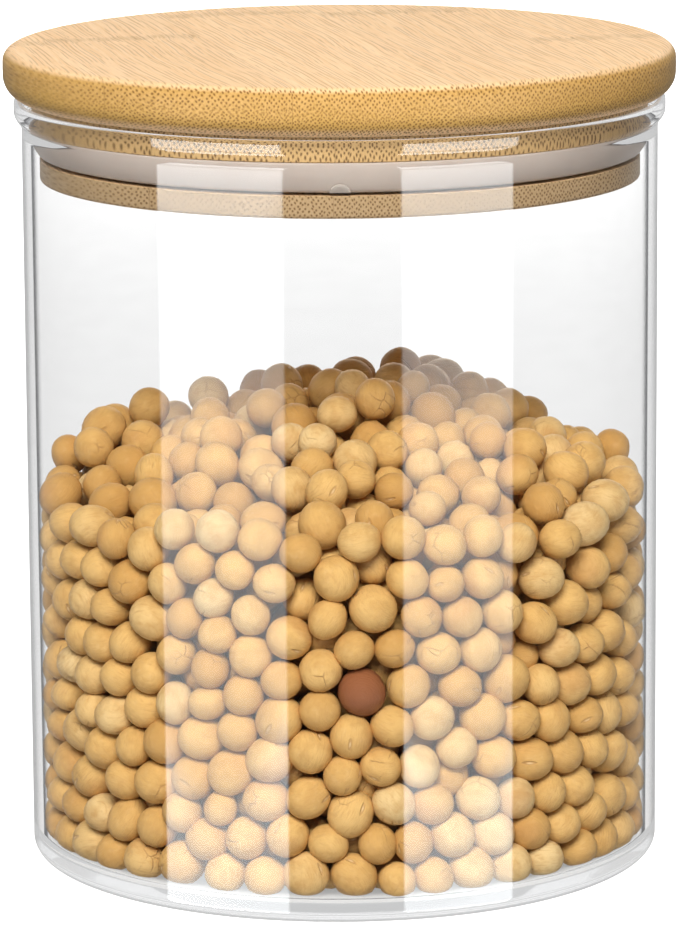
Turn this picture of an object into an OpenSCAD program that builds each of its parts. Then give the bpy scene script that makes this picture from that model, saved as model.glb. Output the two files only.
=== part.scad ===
// Lidded storage canister: a glass jar, a silicone seal and a lid of laminated bamboo.
// Millimetres, +Z up, origin at the centre of the jar's base.

/* [Jar] */
// Outside diameter of the straight wall
jar_d = 100; // [92:1:112]
// Height of the jar to the top of its rim
jar_h = 121; // [90:1:180]
// Thickness of the glass wall
wall_t = 1.4; // [1.3:0.1:1.6]
// Thickness of the glass floor
floor_t = 2.7; // [2:0.1:5]
// Outside corner radius at the base
base_r = 2; // [1.5:0.1:5]
// Inside corner radius at the floor
floor_r = 2.2; // [1.5:0.1:5]
// How far the mouth flares out from the straight wall
flare_out = 1.2; // [0.9:0.1:1.4]
// Height of the flare on the outside of the glass
flare_h = 3; // [2.6:0.1:4]
// Height of the flare on the inside of the glass
inner_flare_h = 4; // [3.8:0.1:4.2]
// Height of the straight lip above the flare
lip_h = 1.8; // [1.6:0.1:2]

/* [Lid] */
// Thickness of the lid disc
disc_t = 7.7; // [6:0.1:12]
// How far the lid disc stands out past the straight wall
overhang = 2.8; // [2.2:0.1:6]
// Radius of the top edge of the disc
top_edge_r = 2; // [1:0.1:3]
// Radius of the lower edge of the disc
lower_edge_r = 3.6; // [2:0.1:4]
// Gap between the disc and the rim of the jar
rim_gap = 0.3; // [0.2:0.1:0.6]
// Depth of the plug below the disc
plug_depth = 12.6; // [12.4:0.1:14]
// Clearance between the lower flange of the plug and the glass
flange_clear = 1.4; // [1:0.1:1.8]
// Height of the collar above the groove
collar_h = 3.4; // [3:0.1:3.6]
// Height of the lower flange of the plug
flange_h = 3.5; // [3:0.1:4]
// Depth of the seal groove from the lower flange
groove_d = 2.7; // [2:0.1:4]
// Radius on the bottom edge of the plug
plug_edge_r = 0.6; // [0.3:0.1:1]
// Direction of the bamboo grain, turned from the Y axis
grain_angle = 13.5; // [0:0.5:45]

/* [Seal] */
// How far the lip of the seal stands out past the straight inside wall
lip_out = 0.25; // [0.1:0.05:0.25]
// Radius of the bulge on the outside of the seal
bulge_r = 7.9; // [7.5:0.1:8.5]
// Gap under the seal in its groove
foot_gap = 0.5; // [0.2:0.1:0.8]
// Radius of the half-moon tab at the front of the seal
tab_r = 1.6; // [1:0.1:1.8]
// How far the tab stands out from the foot of the seal
tab_out = 0.6; // [0.4:0.1:0.7]

/* [Hidden] */

jar_r = jar_d / 2;
inner_r = jar_r - wall_t;
mouth_r = inner_r + flare_out;
flare_top = jar_h - lip_h;
rim_r = wall_t / 2;

disc_z = jar_h + rim_gap;
disc_r = jar_r + overhang;
disc_top = disc_z + disc_t;
plug_z = disc_z - plug_depth;
flange_r = inner_r - flange_clear;
collar_r = inner_r - 0.2;
core_r = flange_r - groove_d;
groove_z = plug_z + flange_h;
groove_top = disc_z - collar_h;

running_gap = 0.05;
face_gap = 0.1;
seal_z = groove_z + foot_gap;
seal_top = groove_top - face_gap;
seal_inner_r = core_r + running_gap;
seal_r = inner_r + lip_out;
bulge_z = seal_top - face_gap;
tab_root = 1;
seal_foot_r = seal_r - bulge_r + sqrt(bulge_r * bulge_r - pow(bulge_z - seal_z, 2));

disc_joints = [-43.5, -19, 5.5, 30.5];
plug_joints = [-36.5, -12, 12.5, 37];
reach = 2 * disc_r;

glass = [0.80, 0.88, 0.90, 0.35];
silicone = [0.83, 0.78, 0.73];
bamboo = [0.90, 0.72, 0.47];
pale_bamboo = [0.95, 0.80, 0.57];

$fn = 96;

// Half outline of a round vessel with a bottom corner and a mouth that flares in an S curve.
module vessel_outline(radius, bottom, corner, bend_h, top) {
    bend = (bend_h * bend_h + flare_out * flare_out) / (4 * flare_out);
    start = flare_top - bend_h;
    middle = flare_top - bend_h / 2;
    translate([0, bottom])
        square([radius - corner, corner]);
    intersection() {
        translate([radius - corner, bottom + corner])
            circle(corner);
        translate([0, bottom])
            square([radius, corner]);
    }
    translate([0, bottom + corner])
        square([radius, start - bottom - corner]);
    difference() {
        translate([0, start])
            square([radius + flare_out / 2, bend_h / 2]);
        translate([radius + bend, start])
            circle(bend);
    }
    intersection() {
        translate([radius + flare_out - bend, flare_top])
            circle(bend);
        translate([radius / 2, middle])
            square([radius, bend_h / 2]);
    }
    translate([0, middle])
        square([radius + flare_out - bend, bend_h / 2]);
    translate([0, flare_top])
        square([radius + flare_out, top - flare_top]);
}

module glass_jar() {
    color(glass)
        rotate_extrude() {
            difference() {
                vessel_outline(jar_r, 0, base_r, flare_h, jar_h - rim_r);
                vessel_outline(inner_r, floor_t, floor_r, inner_flare_h, jar_h);
            }
            translate([mouth_r + rim_r, jar_h - rim_r])
                circle(rim_r);
        }
}

// The ring bulges outward and is widest at its upper lip.
module seal_ring() {
    color(silicone)
        union() {
            rotate_extrude()
                intersection() {
                    translate([seal_inner_r, seal_z])
                        square([seal_r - seal_inner_r, seal_top - seal_z]);
                    translate([seal_r - bulge_r, bulge_z])
                        circle(bulge_r);
                }
            seal_tab();
        }
}

// Half-moon tab where a fingertip starts to pull the ring off.
module seal_tab() {
    intersection() {
        translate([0, tab_root - seal_foot_r, seal_z])
            rotate([90, 0, 0])
                cylinder(r = tab_r, h = tab_root + tab_out);
        translate([-tab_r, -seal_r, seal_z])
            cube([2 * tab_r, seal_r, tab_r]);
    }
}

// The room that one board takes up in a layer glued from boards side by side.
module board(joints, index) {
    first = index == 0 ? -reach : joints[index - 1];
    last = index == len(joints) ? reach : joints[index];
    rotate([0, 0, grain_angle])
        translate([first, -reach, 0])
            cube([last - first, 2 * reach, 2 * disc_top]);
}

module disc_round() {
    side_top = disc_top - top_edge_r;
    side_bottom = disc_z + lower_edge_r;
    rotate_extrude() {
        translate([0, disc_z])
            square([disc_r - lower_edge_r, disc_t]);
        translate([0, side_bottom])
            square([disc_r, side_top - side_bottom]);
        translate([0, side_top])
            square([disc_r - top_edge_r, top_edge_r]);
        intersection() {
            translate([disc_r - top_edge_r, side_top])
                circle(top_edge_r);
            translate([0, side_top])
                square([disc_r, top_edge_r]);
        }
        intersection() {
            translate([disc_r - lower_edge_r, side_bottom])
                circle(lower_edge_r);
            translate([0, disc_z])
                square([disc_r, lower_edge_r]);
        }
    }
}

module plug_round() {
    rotate_extrude() {
        translate([0, plug_z])
            square([core_r, plug_depth]);
        translate([0, groove_top])
            square([collar_r, collar_h]);
        translate([0, plug_z + plug_edge_r])
            square([flange_r, flange_h - plug_edge_r]);
        intersection() {
            translate([flange_r - plug_edge_r, plug_z + plug_edge_r])
                circle(plug_edge_r);
            translate([0, plug_z])
                square([flange_r, plug_edge_r]);
        }
        translate([0, plug_z])
            square([flange_r - plug_edge_r, plug_edge_r]);
    }
}

module disc_strip(index) {
    color(index % 2 == 0 ? bamboo : pale_bamboo)
        intersection() {
            disc_round();
            board(disc_joints, index);
        }
}

module plug_strip(index) {
    color(index % 2 == 0 ? pale_bamboo : bamboo)
        intersection() {
            plug_round();
            board(plug_joints, index);
        }
}

glass_jar();
seal_ring();
disc_strip(0);  // disc_strip_1
disc_strip(1);  // disc_strip_2
disc_strip(2);  // disc_strip_3
disc_strip(3);  // disc_strip_4
disc_strip(4);  // disc_strip_5
plug_strip(0);  // plug_strip_1
plug_strip(1);  // plug_strip_2
plug_strip(2);  // plug_strip_3
plug_strip(3);  // plug_strip_4
plug_strip(4);  // plug_strip_5
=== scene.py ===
"""A round glass canister with a bamboo lid and a silicone seal, filled with dry soybeans."""
import math

import bmesh
import bpy
import numpy as np
from mathutils import Matrix, Vector


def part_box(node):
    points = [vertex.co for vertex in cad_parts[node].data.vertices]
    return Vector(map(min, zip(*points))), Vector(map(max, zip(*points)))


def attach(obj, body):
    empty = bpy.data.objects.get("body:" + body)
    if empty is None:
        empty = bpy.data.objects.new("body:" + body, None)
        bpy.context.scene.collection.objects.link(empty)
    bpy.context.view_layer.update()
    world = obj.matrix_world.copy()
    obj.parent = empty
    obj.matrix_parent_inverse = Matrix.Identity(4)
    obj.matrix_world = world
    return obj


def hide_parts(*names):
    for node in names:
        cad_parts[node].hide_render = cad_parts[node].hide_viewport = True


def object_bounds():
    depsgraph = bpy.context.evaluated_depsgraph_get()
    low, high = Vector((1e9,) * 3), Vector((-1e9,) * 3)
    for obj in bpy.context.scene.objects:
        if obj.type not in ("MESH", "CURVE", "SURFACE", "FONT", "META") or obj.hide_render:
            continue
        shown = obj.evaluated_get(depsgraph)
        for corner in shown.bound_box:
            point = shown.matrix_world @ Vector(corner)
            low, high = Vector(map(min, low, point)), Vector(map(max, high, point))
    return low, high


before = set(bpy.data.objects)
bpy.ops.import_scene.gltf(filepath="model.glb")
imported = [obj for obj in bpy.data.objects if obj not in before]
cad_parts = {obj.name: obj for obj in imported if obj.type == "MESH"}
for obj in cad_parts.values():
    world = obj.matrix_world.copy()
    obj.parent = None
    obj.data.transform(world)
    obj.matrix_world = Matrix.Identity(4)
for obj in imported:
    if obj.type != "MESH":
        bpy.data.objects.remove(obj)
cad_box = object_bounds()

MM = 0.001
scene = bpy.context.scene

# ---------------------------------------------------------------- sizes, in millimetres
JAR_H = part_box("glass_jar")[1].z / MM
JAR_R = 50.0
WALL = 1.4
INNER_R = JAR_R - WALL
FLOOR_T = 2.7
BASE_R = 2.0
FLOOR_R = 2.2
FLARE = 1.2
MOUTH_R = INNER_R + FLARE
LIP_H = 1.8
FLARE_TOP = JAR_H - LIP_H
RIM_R = WALL / 2
OUTER_BEND_H = 3.0
INNER_BEND_H = 4.0

LID_TOP = cad_box[1].z / MM
DISC_Z = JAR_H + 0.3
DISC_R = 52.8
TOP_EDGE = 2.0
LOW_EDGE = 3.6
PLUG_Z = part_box("plug_strip_3")[0].z / MM
FLANGE_R = 47.2
COLLAR_R = 48.4
CORE_R = 44.5
FLANGE_H = 3.5
COLLAR_H = 3.4
GRAIN = math.radians(13.5)
DISC_JOINTS = [-43.5, -19.0, 5.5, 30.5]
PLUG_JOINTS = [-36.5, -12.0, 12.5, 37.0]

SEAL_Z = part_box("seal_ring")[0].z / MM
SEAL_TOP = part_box("seal_ring")[1].z / MM
SEAL_R = 48.85
BULGE_R = 7.9
WAIST_Z = SEAL_TOP - 0.1
TAB_R = 1.6
CORE_GAP = 0.05

GLASS_IOR = 1.47


# ---------------------------------------------------------------- shader helper
class Graph:
    """Builds a node tree. An input is a plain value or another node's output."""

    def __init__(self, tree):
        self.tree = tree
        tree.nodes.clear()

    def add(self, kind, inputs=None, **settings):
        node = self.tree.nodes.new(kind)
        for key, value in settings.items():
            setattr(node, key, value)
        for key, value in (inputs or {}).items():
            socket = node.inputs[key]
            if isinstance(value, bpy.types.NodeSocket):
                self.tree.links.new(value, socket)
            else:
                socket.default_value = value
        return node

    def math(self, operation, a, b=0.0):
        return self.add("ShaderNodeMath", {0: a, 1: b}, operation=operation).outputs[0]

    def plus(self, a, b):
        return self.math("ADD", a, b)

    def minus(self, a, b):
        return self.math("SUBTRACT", a, b)

    def times(self, a, b):
        return self.math("MULTIPLY", a, b)

    def size(self, a):
        return self.math("ABSOLUTE", a)

    def mix(self, factor, a, b):
        """Blends two colours."""
        return self.add("ShaderNodeMix", {0: factor, 6: a, 7: b}, data_type="RGBA").outputs[2]

    def blend(self, factor, a, b):
        """Blends two numbers."""
        return self.add("ShaderNodeMix", {0: factor, 2: a, 3: b}, data_type="FLOAT").outputs[0]

    def mix_shader(self, factor, a, b):
        return self.add("ShaderNodeMixShader", {0: factor, 1: a, 2: b}).outputs[0]

    def step(self, value, low, high, out_low=0.0, out_high=1.0):
        """A smooth step from out_low at low to out_high at high."""
        ends = {"From Min": low, "From Max": high, "To Min": out_low, "To Max": out_high}
        node = self.add(
            "ShaderNodeMapRange", {"Value": value, **ends}, interpolation_type="SMOOTHSTEP"
        )
        return node.outputs["Result"]

    def noise(self, vector, scale, detail=2.0, rough=0.5):
        inputs = {"Vector": vector, "Scale": scale, "Detail": detail, "Roughness": rough}
        return self.add("ShaderNodeTexNoise", inputs).outputs["Fac"]

    def place(self, space="Object"):
        return self.add("ShaderNodeTexCoord").outputs[space]

    def split(self, vector):
        return self.add("ShaderNodeSeparateXYZ", {0: vector}).outputs

    def vector(self, operation, a, b=(0.0, 0.0, 0.0)):
        return self.add("ShaderNodeVectorMath", {0: a, 1: b}, operation=operation).outputs

    def xyz(self, x, y, z):
        return self.add("ShaderNodeCombineXYZ", {0: x, 1: y, 2: z}).outputs[0]

    def bump(self, strength, distance, height):
        inputs = {"Strength": strength, "Distance": distance, "Height": height}
        return self.add("ShaderNodeBump", inputs).outputs[0]

    def emission(self, colour, strength):
        return self.add("ShaderNodeEmission", {"Color": colour, "Strength": strength}).outputs[0]

    def surface(self, shader):
        self.add("ShaderNodeOutputMaterial", {"Surface": shader})


def material(name):
    made = bpy.data.materials.new(name)
    made.use_nodes = True
    return made, Graph(made.node_tree)


def rgb(r, g, b):
    return (r, g, b, 1.0)


# ---------------------------------------------------------------- materials
def glass_material():
    """Clear glass, a little wavy like a blown wall; it lets light through to the contents.

    Inside the wall only steep reflections are kept, so that the contents stay clear behind it.
    Light that the wall guides on and on is replaced by a painted white glow, standing in for the
    white room. A thin painted dark line, standing in for the shade that refraction gives, lies
    where that begins, and another along the inner corner of the floor.
    """
    made, g = material("clear_glass")
    made.cycles.emission_sampling = "NONE"
    place = g.place()
    tall = g.add("ShaderNodeMapping", {"Vector": place, "Scale": (1.0, 1.0, 0.35)}).outputs[0]
    wave = g.noise(tall, 45.0, 1.0, 0.4)
    bump = g.bump(0.05, 0.0006, wave)
    cloud = g.step(g.noise(tall, 30.0, 2.0, 0.5), 0.3, 0.7)
    tint = g.mix(cloud, rgb(0.992, 0.992, 0.992), rgb(0.982, 0.984, 0.983))
    surface = {"Roughness": 0.0, "Normal": bump}
    outer = g.add(
        "ShaderNodeBsdfPrincipled",
        {**surface, "Base Color": tint, "IOR": GLASS_IOR, "Transmission Weight": 1.0},
    ).outputs[0]

    fresnel = g.add("ShaderNodeFresnel", {"IOR": GLASS_IOR, "Normal": bump}).outputs[0]
    steep = g.step(fresnel, 0.6, 0.97)
    # Painted shade: a thin dark outline where the wall starts to reflect fully, standing in for the
    # grey edge lines that refraction gives.
    painted_outline_shade = g.times(g.step(fresnel, 0.3, 0.6), g.step(fresnel, 0.75, 0.97, 1.0, 0.0))

    x, y, z = g.split(place)
    radius = g.vector("LENGTH", g.xyz(x, y, 0.0))["Value"]
    on_inner_face = g.step(radius, INNER_R * MM, (INNER_R + 0.5) * MM, 1.0, 0.0)
    # Painted shade: a thin dark line along the inner corner of the floor, standing in for the shade
    # that refraction gives there.
    from_corner = g.size(g.minus(z, (FLOOR_T + 0.9) * MM))
    uneven = g.step(g.noise(place, 60.0, 1.0, 0.5), 0.3, 0.6, 0.45, 1.0)
    corner = g.times(g.step(from_corner, 0.00012, 0.0004, 1.0, 0.0), uneven)
    painted_dark_lines = g.math("MAXIMUM", painted_outline_shade, g.times(corner, on_inner_face))
    # The refracted light is darkened along these painted dark lines.
    through_colour_painted_lines = g.mix(g.times(painted_dark_lines, 0.75), rgb(0.993, 0.993, 0.993), rgb(0.12, 0.12, 0.13))

    through = g.add(
        "ShaderNodeBsdfRefraction", {**surface, "Color": through_colour_painted_lines, "IOR": GLASS_IOR}
    ).outputs[0]
    mirror = g.add(
        "ShaderNodeBsdfAnisotropic", {**surface, "Color": rgb(0.97, 0.972, 0.975)}
    ).outputs[0]
    # Painted light: a white glow, standing in for light that the wall guides on and on from the
    # white room.
    painted_white_glow = g.emission(rgb(1.0, 1.0, 1.0), 0.95)
    clear = g.add("ShaderNodeBsdfTransparent", {"Color": rgb(0.965, 0.97, 0.967)}).outputs[0]

    ray = g.add("ShaderNodeLightPath").outputs
    inner = g.mix_shader(steep, through, g.mix_shader(0.2, mirror, painted_white_glow))
    solid = g.mix_shader(ray["Is Camera Ray"], inner, outer)
    lit = g.mix_shader(ray["Is Diffuse Ray"], solid, clear)
    g.surface(g.mix_shader(ray["Is Shadow Ray"], lit, clear))
    return made


def silicone_material():
    """Milky silicone: soft inside light, a satin skin and a very fine moulded texture."""
    made, g = material("silicone")
    place = g.place()
    cloud = g.noise(place, 120.0, 3.0, 0.55)
    colour = g.mix(g.step(cloud, 0.3, 0.7), rgb(0.46, 0.38, 0.328), rgb(0.49, 0.41, 0.354))
    grit = g.noise(place, 2600.0, 2.0, 0.6)
    bump = g.bump(0.12, 0.0001, grit)
    rough = g.step(cloud, 0.2, 0.8, 0.38, 0.52)
    soft = g.add(
        "ShaderNodeBsdfPrincipled",
        {
            "Base Color": colour,
            "Roughness": rough,
            "IOR": 1.41,
            "Subsurface Weight": 0.35,
            "Subsurface Radius": (0.004, 0.003, 0.0025),
            "Subsurface Scale": 0.6,
            "Normal": bump,
        },
    )
    g.surface(soft.outputs[0])
    return made


# Each layer's colours: flat face, its warm streaks, side, its deep streaks, side towards the glue
# with painted shading (painted shade on the disc, painted light on the plug), fibre bundle and
# pore.
WOOD = {
    "disc": (
        (0.83, 0.565, 0.315), (0.765, 0.49, 0.25), (0.56, 0.335, 0.11),
        (0.46, 0.26, 0.068), (0.47, 0.28, 0.06), (0.30, 0.15, 0.032), (0.14, 0.055, 0.01),
    ),
    "plug": (
        (0.66, 0.45, 0.25), (0.58, 0.37, 0.19), (0.43, 0.295, 0.16),
        (0.37, 0.245, 0.12), (0.73, 0.46, 0.18), (0.26, 0.15, 0.06), (0.11, 0.05, 0.016),
    ),
}


def bamboo_material(name, seed, low, high, knot_v, ply, tone):
    """Bamboo as a solid texture: long fibre bundles along the grain, cut open at the end grain.

    low and high are the board's joints across the grain, and knot_v is where its knot lies along
    the grain. ply is the layer's name, the z of its sparse face and of its face towards the glue,
    and how fine the fibre bundles become there.
    """
    made, g = material(name)
    ply_name, sparse, dense, fine = ply
    place = g.place()
    turned = g.add(
        "ShaderNodeMapping",
        {"Vector": place, "Rotation": (0.0, 0.0, -GRAIN), "Scale": (1000.0, 1000.0, 1000.0)},
    ).outputs[0]
    u, v, z = g.split(turned)

    # A knot: a fuzzy band across the board where the fibres swerve.
    ragged = g.noise(g.xyz(g.plus(u, seed * 31.0), g.times(v, 0.25), z), 0.34, 3.0, 0.65)
    away = g.minus(g.minus(v, knot_v), g.times(g.minus(ragged, 0.5), 8.0))
    near = g.size(away)
    knot = g.step(near, 0.4, 3.0, 1.0, 0.0)
    knot_edge = g.step(g.size(g.minus(near, 2.2)), 0.2, 2.0, 1.0, 0.0)
    swerve = g.times(g.step(near, 0.0, 7.0, 1.0, 0.0), 1.4)

    slow = g.noise(g.xyz(g.times(u, 0.05), g.times(v, 0.018), seed * 7.7), 1.0, 2.0, 0.5)
    wobble = g.noise(g.xyz(g.times(u, 0.25), g.times(v, 0.10), seed * 3.1), 1.0, 2.0, 0.5)
    drift = g.times(g.minus(slow, 0.5), 5.0)
    sway = g.times(g.minus(wobble, 0.5), g.plus(swerve, 0.35))
    across = g.plus(u, g.plus(g.plus(drift, sway), seed * 53.0))

    # Fibre bundles: large and apart on one face of the layer, small and close on the other.
    depth = g.step(g.plus(z, g.times(g.minus(wobble, 0.5), 3.0)), sparse, dense)
    fineness = g.times(depth, fine)
    rise = g.noise(g.xyz(g.times(u, 0.45), g.times(v, 0.055), seed * 1.9), 1.0, 2.0, 0.5)
    lift = g.plus(1.7, g.times(swerve, 1.6))
    level = g.plus(z, g.times(g.minus(rise, 0.5), lift))

    def dots(per_mm, rows_per_mm, randomness):
        """Distance to the nearest dot of staggered rows."""
        a = g.times(across, per_mm)
        b = g.times(level, rows_per_mm)
        lattice = g.xyz(g.plus(a, b), g.minus(a, b), 0.0)
        cells = g.add(
            "ShaderNodeTexVoronoi",
            {"Vector": lattice, "Scale": 1.0, "Randomness": randomness},
            voronoi_dimensions="2D",
        )
        return cells.outputs["Distance"]

    big = dots(1.3, 1.05, 0.42)
    small = dots(1.6, 1.4, 0.5)
    ring_big = g.step(big, 0.24, 0.46, 1.0, 0.0)
    ring_small = g.step(small, 0.27, 0.5, 1.0, 0.0)
    pore_big = g.step(big, 0.12, 0.31, 1.0, 0.0)
    pore_small = g.step(small, 0.15, 0.37, 1.0, 0.0)
    bundle = g.blend(fineness, ring_big, ring_small)
    pore = g.blend(fineness, pore_big, pore_small)

    # Fine streaks between the bundles.
    thin = g.xyz(g.times(across, 2.6), g.times(v, 0.045), g.times(z, 2.6))
    streak = g.noise(thin, 1.0, 4.0, 0.62)
    hair = g.noise(g.xyz(g.times(across, 7.0), g.times(v, 0.16), g.times(z, 7.0)), 1.0, 3.0, 0.6)
    broad = g.noise(g.xyz(g.times(across, 0.16), g.times(v, 0.012), g.times(z, 0.3)), 1.0, 2.0, 0.5)

    # End grain is darker and shows the dots; the flat faces show them as thin broken lines.
    normal = g.add(
        "ShaderNodeVectorTransform",
        {0: g.add("ShaderNodeNewGeometry").outputs["Normal"]},
        vector_type="NORMAL",
        convert_from="WORLD",
        convert_to="OBJECT",
    ).outputs[0]
    along_grain = (-math.sin(GRAIN), math.cos(GRAIN), 0.0)
    along = g.vector("DOT_PRODUCT", normal, along_grain)["Value"]
    end = g.step(g.size(along), 0.3, 0.72)
    flat = g.step(g.size(g.split(normal)[2]), 0.5, 0.86)

    tones = [rgb(*(min(c * tone, 1.0) for c in colour)) for colour in WOOD[ply_name]]
    face, face_warm, side, side_deep, side_painted_shading, fibre, core = tones
    colour = g.mix(g.step(streak, 0.36, 0.74), face, face_warm)
    colour = g.mix(g.times(g.step(broad, 0.35, 0.75), 0.4), colour, face_warm)
    edge_colour = g.mix(g.step(streak, 0.3, 0.75), side, side_deep)
    # Painted shading: towards the glue face the side is darker on the disc's lower edge as painted
    # shade, and lighter on the plug's collar under the disc's overhang as painted light.
    edge_colour = g.mix(g.times(depth, 0.6), edge_colour, side_painted_shading)
    colour = g.mix(g.minus(1.0, flat), colour, edge_colour)
    colour = g.mix(g.times(bundle, g.plus(0.12, g.times(end, 0.42))), colour, fibre)
    colour = g.mix(g.times(pore, g.plus(0.28, g.times(end, 0.5))), colour, core)
    colour = g.mix(g.times(g.step(hair, 0.52, 0.78), 0.3), colour, fibre)
    colour = g.mix(g.times(knot, g.step(streak, 0.3, 0.7, 0.1, 0.34)), colour, fibre)
    colour = g.mix(g.times(knot_edge, g.times(g.step(hair, 0.45, 0.7), 0.3)), colour, core)

    # The glue line at each joint, hardly to be seen.
    for joint in (low, high):
        if joint is not None:
            gap = g.size(g.minus(u, joint))
            colour = g.mix(g.step(gap, 0.03, 0.16, 0.22, 0.0), colour, core)

    relief = g.minus(g.times(hair, 0.5), g.times(pore, g.plus(0.25, end)))
    bump = g.bump(0.4, 0.00007, relief)
    wood = g.add(
        "ShaderNodeBsdfPrincipled",
        {
            "Base Color": colour,
            "Roughness": g.step(streak, 0.2, 0.8, 0.45, 0.62),
            "Specular IOR Level": 0.35,
            "Coat Weight": 0.06,
            "Coat Roughness": 0.35,
            "Normal": bump,
        },
    )
    g.surface(wood.outputs[0])
    return made


def bean_material():
    """Dry soybean skin: tone and marks come from attributes stored on the beans."""
    made, g = material("soybean")
    place = g.place()
    tone = g.add("ShaderNodeAttribute", {}, attribute_name="bean_tone").outputs["Fac"]
    red = g.add("ShaderNodeAttribute", {}, attribute_name="bean_red").outputs["Fac"]
    face = g.add("ShaderNodeAttribute", {}, attribute_name="bean_face").outputs["Vector"]
    x, y, z = g.split(face)

    gold = g.mix(g.step(tone, 0.0, 0.5), rgb(0.545, 0.30, 0.09), rgb(0.665, 0.405, 0.14))
    colour = g.mix(g.step(tone, 0.55, 1.0), gold, rgb(0.71, 0.505, 0.24))
    mottle = g.noise(place, 300.0, 3.0, 0.6)
    colour = g.mix(g.step(mottle, 0.38, 0.72, 0.0, 0.6), colour, rgb(0.47, 0.255, 0.075))
    fine = g.noise(place, 1100.0, 2.0, 0.5)
    colour = g.mix(g.step(fine, 0.5, 0.8, 0.0, 0.12), colour, rgb(0.80, 0.58, 0.32))

    # Faint veins run round from the scar, and a blush covers one end of some beans.
    round_scar = g.xyz(
        g.times(x, 1.5), g.plus(g.times(y, 1.2), g.times(tone, 40.0)), g.times(z, 9.0)
    )
    veins = g.noise(round_scar, 1.6, 3.0, 0.6)
    colour = g.mix(g.step(veins, 0.48, 0.7, 0.0, 0.45), colour, rgb(0.50, 0.27, 0.085))
    blush = g.times(g.step(z, 0.1, 1.0), g.step(g.noise(place, 110.0, 0.0, 0.5), 0.5, 0.66))
    colour = g.mix(g.times(blush, 0.4), colour, rgb(0.47, 0.22, 0.07))

    # Fine cracks in the skin of some beans.
    own_place = g.vector("ADD", place, g.xyz(g.times(tone, 3.0), 0.0, 0.0))[0]
    cracked = g.add(
        "ShaderNodeTexVoronoi", {"Vector": own_place, "Scale": 330.0}, feature="DISTANCE_TO_EDGE"
    )
    narrow = g.step(cracked.outputs["Distance"], 0.004, 0.03, 1.0, 0.0)
    crack = g.times(narrow, g.step(g.noise(place, 160.0, 1.0, 0.5), 0.6, 0.68))
    colour = g.mix(g.times(crack, 0.6), colour, rgb(0.40, 0.21, 0.075))

    # The hilum, a narrow scar on one side with a paler middle.
    wide = g.math("POWER", g.times(y, 3.4), 2.0)
    tall = g.math("POWER", g.times(z, 11.0), 2.0)
    oval = g.math("SQRT", g.plus(wide, tall))
    front = g.step(x, 0.0, 0.3)
    scar = g.times(g.step(oval, 0.75, 1.15, 1.0, 0.0), front)
    middle = g.times(g.step(oval, 0.2, 0.6, 1.0, 0.0), front)
    colour = g.mix(g.times(scar, 0.5), colour, rgb(0.42, 0.22, 0.08))
    colour = g.mix(g.times(middle, 0.5), colour, rgb(0.78, 0.60, 0.36))
    colour = g.mix(red, colour, rgb(0.25, 0.088, 0.035))

    raised = g.plus(g.times(fine, 0.12), g.plus(g.times(mottle, 0.9), g.times(veins, -0.7)))
    sunk = g.plus(g.times(crack, 0.6), g.times(scar, 0.7))
    bump = g.bump(0.8, 0.0002, g.minus(raised, sunk))
    skin = g.add(
        "ShaderNodeBsdfPrincipled",
        {
            "Base Color": colour,
            "Roughness": g.step(fine, 0.2, 0.8, 0.38, 0.55),
            "Specular IOR Level": 0.4,
            "Normal": bump,
        },
    )
    g.surface(skin.outputs[0])
    return made


def floor_material():
    """Pale paper that the camera sees as white."""
    made, g = material("studio_floor")
    place = g.place()
    grain = g.noise(place, 60.0, 3.0, 0.5)
    colour = g.mix(g.step(grain, 0.3, 0.7), rgb(0.44, 0.44, 0.44), rgb(0.46, 0.46, 0.46))
    ray = g.add("ShaderNodeLightPath").outputs
    glow = g.plus(g.times(ray["Is Camera Ray"], 0.9), g.times(ray["Is Transmission Ray"], 0.36))
    paper = g.add(
        "ShaderNodeBsdfPrincipled",
        {
            "Base Color": colour,
            "Roughness": 0.9,
            "Specular IOR Level": 0.0,
            "Emission Color": rgb(1.0, 1.0, 1.0),
            "Emission Strength": glow,
        },
    )
    g.surface(paper.outputs[0])
    return made


# ---------------------------------------------------------------- mesh helpers
def arc(cr, cz, radius, start, stop, steps):
    """Points on an arc in the (r, z) plane, angles in degrees from +r."""
    turns = [math.radians(start + (stop - start) * i / steps) for i in range(steps + 1)]
    return [(cr + radius * math.cos(t), cz + radius * math.sin(t)) for t in turns]


def tidy_profile(points):
    """Drops points that repeat the one before."""
    kept = [points[0]]
    for r, z in points[1:]:
        if math.hypot(r - kept[-1][0], z - kept[-1][1]) > 1e-3:
            kept.append((r, z))
    return kept


def lathe(points, around, closed=False):
    """A bmesh turned round Z from (r, z) points in millimetres; points on the axis become poles."""
    made = bmesh.new()
    rings = []
    for r, z in points:
        if r < 1e-6:
            rings.append([made.verts.new((0.0, 0.0, z * MM))])
            continue
        rings.append([
            made.verts.new((r * MM * math.cos(t), r * MM * math.sin(t), z * MM))
            for t in (2 * math.pi * k / around for k in range(around))
        ])
    pairs = list(zip(rings, rings[1:]))
    if closed:
        pairs.append((rings[-1], rings[0]))
    for low, high in pairs:
        for k in range(around):
            n = (k + 1) % around
            corners = [low[k % len(low)], low[n % len(low)]]
            corners += [high[n % len(high)], high[k % len(high)]]
            unique = list(dict.fromkeys(corners))
            if len(unique) > 2:
                made.faces.new(unique)
    bmesh.ops.recalc_face_normals(made, faces=made.faces)
    return made


def finish_mesh(made, name, mat, body, sharp):
    """Turns a bmesh into a smooth-shaded piece that rides on a body, sharp above an angle."""
    mesh = bpy.data.meshes.new(name)
    made.to_mesh(mesh)
    made.free()
    mesh.materials.append(mat)
    mesh.shade_smooth()
    mesh.set_sharp_from_angle(angle=math.radians(sharp))
    piece = bpy.data.objects.new(name, mesh)
    scene.collection.objects.link(piece)
    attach(piece, body)
    return piece


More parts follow.
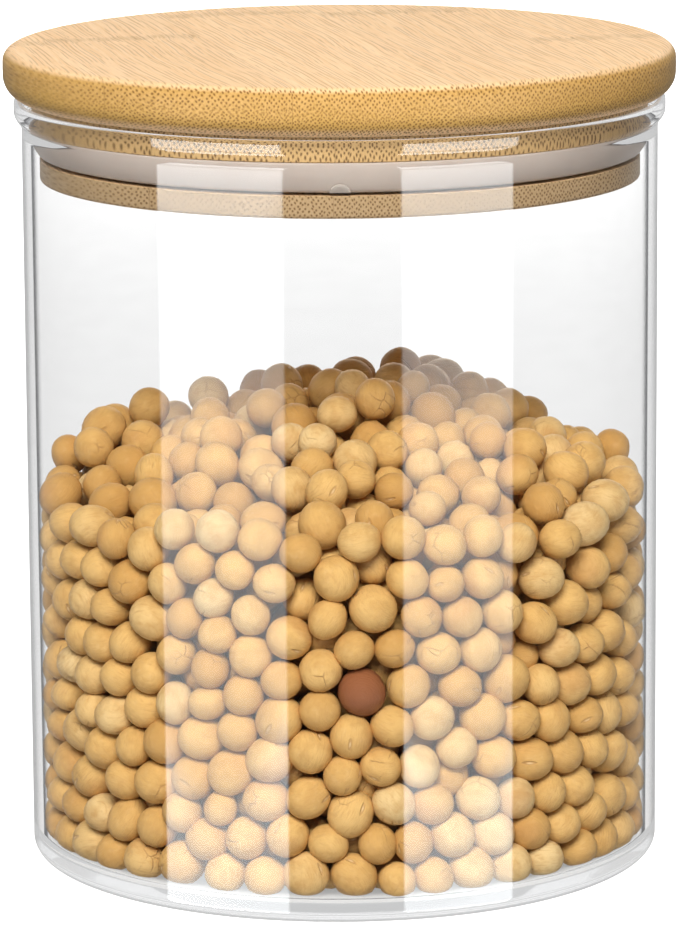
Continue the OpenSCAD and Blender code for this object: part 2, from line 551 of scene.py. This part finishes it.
# ---------------------------------------------------------------- glass jar
def flare_curve(radius, bend_h, steps):
    """The S curve from the straight wall to the mouth."""
    bend = (bend_h * bend_h + FLARE * FLARE) / (4 * FLARE)
    sweep = math.degrees(math.asin(bend_h / 2 / bend))
    lower = arc(radius + bend, FLARE_TOP - bend_h, bend, 180, 180 - sweep, steps)
    upper = arc(radius + FLARE - bend, FLARE_TOP, bend, -sweep, 0, steps)
    return lower + upper


def jar_profile():
    """From the middle of the underside up the outside, over the rim and down to the floor."""
    outside = [(0.0, 0.0), (JAR_R * 0.5, 0.0)]
    outside += arc(JAR_R - BASE_R, BASE_R, BASE_R, -90, 0, 10)
    outside += flare_curve(JAR_R, OUTER_BEND_H, 8)
    rim = arc(MOUTH_R + RIM_R, JAR_H - RIM_R, RIM_R, 0, 180, 14)
    inside = flare_curve(INNER_R, INNER_BEND_H, 8)[::-1]
    inside += arc(INNER_R - FLOOR_R, FLOOR_T + FLOOR_R, FLOOR_R, 0, -90, 10)
    inside += [(INNER_R * 0.5, FLOOR_T), (0.0, FLOOR_T)]
    return tidy_profile(outside + rim + inside)


glass = finish_mesh(lathe(jar_profile(), 256), "jar_blown_glass", glass_material(), "jar", 50)
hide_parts("glass_jar")


# ---------------------------------------------------------------- silicone seal
def seal_profile():
    """A ring that bulges outward, widest at its upper lip, with softened edges."""
    inner = CORE_R + CORE_GAP
    top, bottom = SEAL_TOP, SEAL_Z
    end = math.degrees(math.asin((WAIST_Z - bottom - 0.25) / BULGE_R))
    loop = [(inner + 0.2, bottom), (seal_radius(bottom) - 0.25, bottom)]
    loop += arc(SEAL_R - BULGE_R, WAIST_Z, BULGE_R, -end, -3, 16)
    loop += arc(SEAL_R - 0.45, top - 0.4, 0.4, 15, 90, 6)
    loop += [(inner + 0.2, top), (inner, top - 0.2), (inner, bottom + 0.2)]
    return tidy_profile(loop)


def seal_radius(z):
    """Outer radius of the ring's bulge at a height."""
    return SEAL_R - BULGE_R + math.sqrt(BULGE_R ** 2 - (WAIST_Z - z) ** 2)


seal_mesh = lathe(seal_profile(), 256, closed=True)

# The half-moon tab at the front, from rows of points that stand out of the bulge.
TAB_STEPS = 18
TAB_ROWS = [(-0.3, 1.0), (0.24, 1.0), (0.38, 0.94), (0.43, 0.82), (0.38, 0.55), (0.32, 0.25)]
tab_ring = []
for raised, spread in TAB_ROWS:
    row = []
    for t in (math.pi * k / TAB_STEPS for k in range(TAB_STEPS + 1)):
        high = SEAL_Z + 0.02 + TAB_R * 0.9 * spread * math.sin(t)
        row.append(seal_mesh.verts.new((
            TAB_R * spread * math.cos(t) * MM,
            -(seal_radius(high) + raised) * MM,
            high * MM,
        )))
    tab_ring.append(row)
for inner_arc, outer_arc in zip(tab_ring, tab_ring[1:]):
    for k in range(TAB_STEPS):
        seal_mesh.faces.new((inner_arc[k], inner_arc[k + 1], outer_arc[k + 1], outer_arc[k]))
    seal_mesh.faces.new((inner_arc[0], outer_arc[0], outer_arc[-1], inner_arc[-1]))
seal_mesh.faces.new(tab_ring[-1])
seal_mesh.faces.new(tab_ring[0][::-1])
bmesh.ops.recalc_face_normals(seal_mesh, faces=seal_mesh.faces)
seal = finish_mesh(seal_mesh, "seal_silicone", silicone_material(), "seal", 40)
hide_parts("seal_ring")


# ---------------------------------------------------------------- bamboo boards
def disc_profile():
    """The lid's round upper layer, with a small upper and a wide lower edge radius."""
    loop = [(0.0, DISC_Z)]
    loop += [(r, DISC_Z) for r in (16.0, 32.0)]
    loop += arc(DISC_R - LOW_EDGE, DISC_Z + LOW_EDGE, LOW_EDGE, -90, 0, 12)
    loop += arc(DISC_R - TOP_EDGE, LID_TOP - TOP_EDGE, TOP_EDGE, 0, 90, 10)
    loop += [(r, LID_TOP) for r in (32.0, 16.0)]
    return tidy_profile(loop + [(0.0, LID_TOP)])


def plug_profile():
    """The lid's lower layer: flange, groove for the ring, and collar."""
    groove_low = PLUG_Z + FLANGE_H
    groove_high = DISC_Z - COLLAR_H
    loop = [(0.0, PLUG_Z), (24.0, PLUG_Z)]
    loop += arc(FLANGE_R - 0.6, PLUG_Z + 0.6, 0.6, -90, 0, 5)
    loop += arc(FLANGE_R - 0.2, groove_low - 0.2, 0.2, 0, 90, 3)
    loop += [(CORE_R, groove_low), (CORE_R, groove_high)]
    loop += arc(COLLAR_R - 0.2, groove_high + 0.2, 0.2, -90, 0, 3)
    loop += [(COLLAR_R, DISC_Z), (24.0, DISC_Z), (0.0, DISC_Z)]
    return tidy_profile(loop)


def board(profile, joints, index, name, mat):
    """One board: the turned shape, cut along the joints on its two sides."""
    made = lathe(profile, 288)
    normal = Vector((math.cos(GRAIN), math.sin(GRAIN), 0.0))
    cuts = []
    if index > 0:
        cuts.append((joints[index - 1], True))
    if index < len(joints):
        cuts.append((joints[index], False))
    for place, keep_above in cuts:
        cut = bmesh.ops.bisect_plane(
            made,
            geom=made.verts[:] + made.edges[:] + made.faces[:],
            plane_co=normal * place * MM,
            plane_no=normal,
            clear_inner=keep_above,
            clear_outer=not keep_above,
        )
        rim = [e for e in cut["geom_cut"] if isinstance(e, bmesh.types.BMEdge)]
        bmesh.ops.holes_fill(made, edges=rim, sides=0)
    bmesh.ops.recalc_face_normals(made, faces=made.faces)
    return finish_mesh(made, name, mat, "lid", 30)


# For each layer: its name, profile, joints, where the knots lie along the grain, how light each
# board is, first seed and step between seeds, z of the sparse and the dense face, and fineness.
LAYERS = (
    (
        "disc", disc_profile(), DISC_JOINTS, (14.0, 16.0, 42.0, 37.0, -4.0),
        (1.0, 0.985, 1.015, 0.99, 1.01), (1.0, 1.37), (LID_TOP - 1.5, DISC_Z + 1.5, 1.0),
    ),
    (
        "plug", plug_profile(), PLUG_JOINTS, (8.0, -28.0, 30.0, -10.0, 14.0),
        (0.97, 1.0, 0.98, 1.0, 0.97), (9.0, 1.71), (PLUG_Z + 3.0, DISC_Z - 3.0, 0.0),
    ),
)
for layer, profile, joints, knots, tones, seeds, faces in LAYERS:
    ends = [None] + joints + [None]
    for i in range(len(joints) + 1):
        seed = seeds[0] + i * seeds[1]
        ply = (layer, *faces)
        mat = bamboo_material(
            f"bamboo_{layer}_{i + 1}", seed, ends[i], ends[i + 1], knots[i], ply, tones[i]
        )
        piece = board(profile, joints, i, f"{layer}_board_{i + 1}", mat)
        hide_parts(f"{layer}_strip_{i + 1}")


# ---------------------------------------------------------------- soybeans
BEAN_RADIUS, BEAN_SPREAD = 3.42, 0.24
BEAN_FIT = 0.972  # Drawn a little smaller than packed, so that lumpy beans don't cut into others.
BROWN_SPOT = np.array([4.5, -47.0, 33.0])


def heap_height(x, y):
    """Height of the heap's surface, a low crown a little behind the middle."""
    away = np.sqrt(x ** 2 + (y - 10.0) ** 2)
    crown = 13.0 * np.clip(1.0 - (away / 50.0) ** 2, 0.0, 1.0)
    ripple = 1.2 * np.sin(x / 9.0 + 1.0) + 1.0 * np.cos(y / 8.0 + x / 17.0)
    return 63.0 + crown + ripple


def settle_beans():
    """Packs balls into the jar by pushing overlapping ones apart while they sink."""
    rng = np.random.default_rng(51)
    room = INNER_R - 0.12
    column = 90.0
    radius = np.clip(rng.normal(BEAN_RADIUS, BEAN_SPREAD, 2300), 2.85, 3.95)
    volume = np.cumsum(4 / 3 * math.pi * radius ** 3) / 0.60
    count = int(np.searchsorted(volume, math.pi * room ** 2 * (column - FLOOR_T)))
    radius = radius[:count]
    turn = rng.uniform(0, 2 * math.pi, count)
    out = (room - 3.3) * np.sqrt(rng.uniform(0, 1, count))
    level = rng.uniform(FLOOR_T + 3, column, count)
    spot = np.stack([out * np.cos(turn), out * np.sin(turn), level], 1)
    steps = 420
    for step in range(steps):
        if step % 12 == 0:
            square = (spot ** 2).sum(1)
            gap = square[:, None] + square[None, :] - 2 * spot @ spot.T
            reach = radius[:, None] + radius[None, :] + 1.4
            first, second = np.nonzero(np.triu(gap < reach ** 2, 1))
        apart = spot[first] - spot[second]
        length = np.sqrt((apart ** 2).sum(1)) + 1e-9
        over = radius[first] + radius[second] - length
        touch = over > 0
        push = apart[touch] * (0.5 * over[touch] / length[touch])[:, None]
        a, b = first[touch], second[touch]
        hits = np.maximum(np.bincount(a, minlength=count) + np.bincount(b, minlength=count), 1)
        for axis in range(3):
            move = np.bincount(a, push[:, axis], count) - np.bincount(b, push[:, axis], count)
            spot[:, axis] += move * 1.5 / hits ** 0.6
        calm = 1.0 - step / steps
        spot[:, 2] -= 0.12 * calm
        out = np.hypot(spot[:, 0], spot[:, 1])
        most = room - radius
        pull = np.where(out > most, most / np.maximum(out, 1e-9), 1.0)
        spot[:, :2] *= pull[:, None]
        spot[:, 2] = np.maximum(spot[:, 2], FLOOR_T + 0.05 + radius)
    return spot, radius


def unit_ball(levels):
    """Vertices and faces of an icosphere."""
    ball = bmesh.new()
    bmesh.ops.create_icosphere(ball, subdivisions=levels, radius=1.0)
    ball.verts.ensure_lookup_table()
    verts = np.array([v.co[:] for v in ball.verts])
    faces = np.array([[v.index for v in f.verts] for f in ball.faces])
    ball.free()
    return verts, faces


def random_turn(rng):
    """A rotation matrix from a random quaternion."""
    q = rng.normal(size=4)
    w, x, y, z = q / np.linalg.norm(q)
    return np.array([
        [1 - 2 * (y * y + z * z), 2 * (x * y - z * w), 2 * (x * z + y * w)],
        [2 * (x * y + z * w), 1 - 2 * (x * x + z * z), 2 * (y * z - x * w)],
        [2 * (x * z - y * w), 2 * (y * z + x * w), 1 - 2 * (x * x + y * y)],
    ])


def bean_shape(verts, rng):
    """A nearly round bean: slightly long, a little flattened, with a dent and a low scar."""
    length, width, height = 1.0 + rng.uniform(0.0, 0.09), 1.0, 1.0 - rng.uniform(0.0, 0.09)
    shape = verts * np.array([width, length, height])
    dent = rng.normal(size=3)
    dent /= np.linalg.norm(dent)
    facing = np.clip(verts @ dent, 0, 1)
    shape *= (1 - rng.uniform(0.0, 0.07) * facing ** 6)[:, None]
    lumps = sum(
        np.sin(verts @ rng.normal(size=3) * rng.uniform(2.0, 4.0) + rng.uniform(0, 6))
        for _ in range(3)
    )
    shape *= (1 + 0.009 * lumps)[:, None]
    scar = np.exp(-((verts[:, 1] * 3.0) ** 2 + (verts[:, 2] * 8.0) ** 2)) * (verts[:, 0] > 0)
    return shape * (1 - 0.035 * scar)[:, None]


def bean_heap(name, spots, radii, levels, mat, rng, red=()):
    """One mesh of a group of beans, with each bean's tone and own directions stored on it."""
    verts, faces = unit_ball(levels)
    count = len(spots)
    where, local, tone, redness = [], [], [], []
    for k in range(count):
        shape = bean_shape(verts, rng)
        where.append(shape @ random_turn(rng).T * radii[k] * BEAN_FIT + spots[k])
        local.append(verts)
        shade = float(np.clip(rng.normal(0.48, 0.27), 0, 1))
        tone.append(np.full(len(verts), shade))
        redness.append(np.full(len(verts), 1.0 if k in red else 0.0))
    mesh = bpy.data.meshes.new(name)
    all_verts = np.concatenate(where) * MM
    all_faces = (faces[None] + (np.arange(count) * len(verts))[:, None, None]).reshape(-1, 3)
    mesh.from_pydata(all_verts.tolist(), [], all_faces.tolist())
    for key, kind, field, data in (
        ("bean_face", "FLOAT_VECTOR", "vector", np.concatenate(local)),
        ("bean_tone", "FLOAT", "value", np.concatenate(tone)),
        ("bean_red", "FLOAT", "value", np.concatenate(redness)),
    ):
        layer = mesh.attributes.new(key, kind, "POINT")
        layer.data.foreach_set(field, data.astype(np.float32).ravel())
    mesh.materials.append(mat)
    mesh.shade_smooth()
    piece = bpy.data.objects.new(name, mesh)
    scene.collection.objects.link(piece)
    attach(piece, "jar")
    return piece


def fill_with_beans():
    """Keeps the beans that can be seen and a coarser shell behind them."""
    spots, radii = settle_beans()
    kept = spots[:, 2] < heap_height(spots[:, 0], spots[:, 1]) - 2.5
    spots, radii = spots[kept], radii[kept]
    out = np.hypot(spots[:, 0], spots[:, 1])
    under = heap_height(spots[:, 0], spots[:, 1]) - spots[:, 2]
    shown = (out > INNER_R - 6.5) | (under < 8.0)
    hidden = ~shown & ((out > INNER_R - 21.0) | (under < 22.0))
    rng = np.random.default_rng(7)
    mat = bean_material()
    turn = np.degrees(np.arctan2(spots[:, 1], spots[:, 0])) % 360
    brown = int(np.argmin(np.where(shown, ((spots - BROWN_SPOT) ** 2).sum(1), 1e9)))
    for part in range(4):
        sector = shown & (turn >= part * 90) & (turn < part * 90 + 90)
        index = np.nonzero(sector)[0]
        red = {int(k) for k in np.nonzero(index == brown)[0]}
        bean_heap(f"contents_soybeans_{part + 1}", spots[index], radii[index], 3, mat, rng, red)
    index = np.nonzero(hidden)[0]
    bean_heap("contents_soybeans_inner", spots[index], radii[index], 2, mat, rng)


fill_with_beans()


# ---------------------------------------------------------------- studio
floor_mesh = bmesh.new()
bmesh.ops.create_grid(floor_mesh, x_segments=2, y_segments=2, size=2.5)
floor = bpy.data.meshes.new("studio_floor")
floor_mesh.to_mesh(floor)
floor_mesh.free()
floor.materials.append(floor_material())
floor = bpy.data.objects.new("studio_floor", floor)
floor.location.z = -0.0003
floor.visible_glossy = False
scene.collection.objects.link(floor)


CARD_AWAY, CARD_Z, CARD_HALF_H = 1.5, -0.35, 0.6


def softbox_card(name, middle, half, strength):
    """A tall card, brighter at its ends, seen only in reflections between two compass angles."""
    wide = CARD_AWAY * math.tan(math.radians(half))
    card = bmesh.new()
    bmesh.ops.create_grid(card, x_segments=1, y_segments=1, size=1.0)
    mesh = bpy.data.meshes.new(name)
    card.to_mesh(mesh)
    card.free()
    made, g = material(name)
    x, y, _ = g.split(g.place())
    brightness = g.step(g.size(y), 0.19, 0.25, strength, strength * 1.8)
    fade = g.times(g.step(g.size(x), 0.93, 1.0, 1.0, 0.0), brightness)
    g.surface(g.emission(rgb(0.92, 0.97, 1.0), fade))
    mesh.materials.append(made)
    obj = bpy.data.objects.new(name, mesh)
    a = math.radians(middle)
    spot = Vector((math.sin(a) * CARD_AWAY, -math.cos(a) * CARD_AWAY, CARD_Z))
    facing = (Vector((0, 0, CARD_Z)) - spot).to_track_quat("Z", "Y").to_matrix().to_4x4()
    stretch = Matrix.Diagonal((wide, CARD_HALF_H, 1.0, 1.0))
    obj.matrix_world = Matrix.Translation(spot) @ facing @ stretch
    for ray in ("camera", "diffuse", "transmission", "volume_scatter", "shadow"):
        setattr(obj, "visible_" + ray, False)
    scene.collection.objects.link(obj)


softbox_card("softbox_left", -44.0, 24.5, 4.9)
softbox_card("softbox_right", 42.5, 21.7, 4.9)


def lamp(name, spot, size, power):
    """A soft lamp that shines at the jar and isn't seen itself."""
    data = bpy.data.lights.new(name, "AREA")
    data.shape = "RECTANGLE"
    data.size, data.size_y = size
    data.energy = power
    obj = bpy.data.objects.new(name, data)
    obj.location = spot
    obj.rotation_euler = (Vector((0, 0, 0.07)) - Vector(spot)).to_track_quat("-Z", "Y").to_euler()
    obj.visible_glossy = False
    obj.visible_transmission = False
    obj.visible_camera = False
    scene.collection.objects.link(obj)


lamp("front", (-0.06, -1.0, 0.85), (0.55, 0.45), 23.5)
lamp("back", (0.1, 1.25, 0.45), (0.8, 0.5), 14.0)
lamp("top", (0.0, 0.1, 1.3), (0.9, 0.9), 1.1)

# A white room behind the object and a dark one in front, as reflections see it.
world = bpy.data.worlds.new("studio")
scene.world = world
world.use_nodes = True
sky = Graph(world.node_tree)
ray = sky.add("ShaderNodeLightPath").outputs
_, north, up = sky.split(sky.place("Generated"))
mirrored = sky.step(north, 0.35, 1.0, 0.03, 0.5)
overhead = sky.step(up, 0.3, 0.7, 1.0, 0.25)
refracted = sky.times(sky.step(north, -0.5, 0.2, 0.05, 1.0), overhead)

# Refracted rays count as glossy too, so the later rows go before the earlier ones.
level = 1.0
for kind, seen in (
    ("Is Glossy Ray", mirrored),
    ("Is Transmission Ray", refracted),
    ("Is Camera Ray", 1.12),
    ("Is Diffuse Ray", 0.165),
):
    level = sky.blend(ray[kind], level, seen)
light = sky.add("ShaderNodeBackground", {"Color": rgb(1, 1, 1), "Strength": level}).outputs[0]
sky.add("ShaderNodeOutputWorld", {"Surface": light})

scene.view_settings.view_transform = "Standard"
scene.view_settings.look = "None"

# ---------------------------------------------------------------- camera
cam_data = bpy.data.cameras.new("camera")
camera = bpy.data.objects.new("camera", cam_data)
scene.collection.objects.link(camera)
cam_data.sensor_width = 36.0
cam_data.lens = 219.5
cam_data.clip_start = 0.05
cam_data.clip_end = 20.0
PITCH = 0.2013
ROLL = 0.0070
turned = Matrix.Rotation(math.pi / 2 - PITCH, 4, "X") @ Matrix.Rotation(-ROLL, 4, "Z")
camera.matrix_world = Matrix.Translation((-0.0004, -0.880, 0.2415)) @ turned
scene.camera = camera
